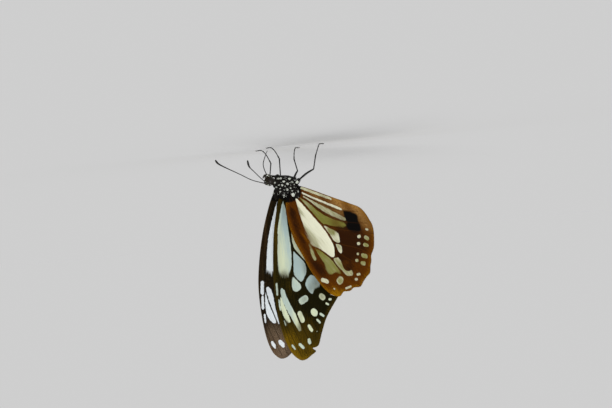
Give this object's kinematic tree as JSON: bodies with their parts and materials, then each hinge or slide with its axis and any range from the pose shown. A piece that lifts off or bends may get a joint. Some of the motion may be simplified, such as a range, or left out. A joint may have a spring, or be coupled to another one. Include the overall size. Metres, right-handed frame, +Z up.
{
  "type": "chestnut tiger butterfly",
  "caption": "Life-size still butterfly standing on its feet with closed, patterned wings, clubbed feelers and an uncoiled sucking tube, for display or as a scene prop.",
  "frame": {"origin": "on the floor, under the middle of the model's box", "axes": "+Z up, +X towards the head, -Y towards the butterfly's right side"},
  "size_m": [0.0512, 0.0193, 0.0699],
  "materials": {
    "body_scales": "matte black scales with raised white dots",
    "abdomen_scales": "matte grey-brown scales, paler below",
    "eye_facets": "glossy dark facets",
    "leg_horn": "satin black horn",
    "forewing_scales": "scaled membrane, dark brown with pale blue-white panels",
    "hindwing_scales": "scaled membrane, chestnut with cream panels"
  },
  "bodies": {
    "root": {"head": "body_scales", "thorax": "body_scales", "abdomen": "abdomen_scales", "eye_left": "eye_facets", "eye_right": "eye_facets", "palp_left": "body_scales", "palp_right": "body_scales", "proboscis": "leg_horn", "antenna_left": "leg_horn", "antenna_right": "leg_horn", "foreleg_left": "leg_horn", "foreleg_right": "leg_horn", "midleg_left_femur": "leg_horn", "midleg_left_tibia": "leg_horn", "midleg_left_tarsus": "leg_horn", "midleg_right_femur": "leg_horn", "midleg_right_tibia": "leg_horn", "midleg_right_tarsus": "leg_horn", "hindleg_left_femur": "leg_horn", "hindleg_left_tibia": "leg_horn", "hindleg_left_tarsus": "leg_horn", "hindleg_right_femur": "leg_horn", "hindleg_right_tibia": "leg_horn", "hindleg_right_tarsus": "leg_horn", "forewing_left": "forewing_scales", "hindwing_left": "hindwing_scales", "forewing_right": "forewing_scales", "hindwing_right": "hindwing_scales"}
  },
  "joints": []
}
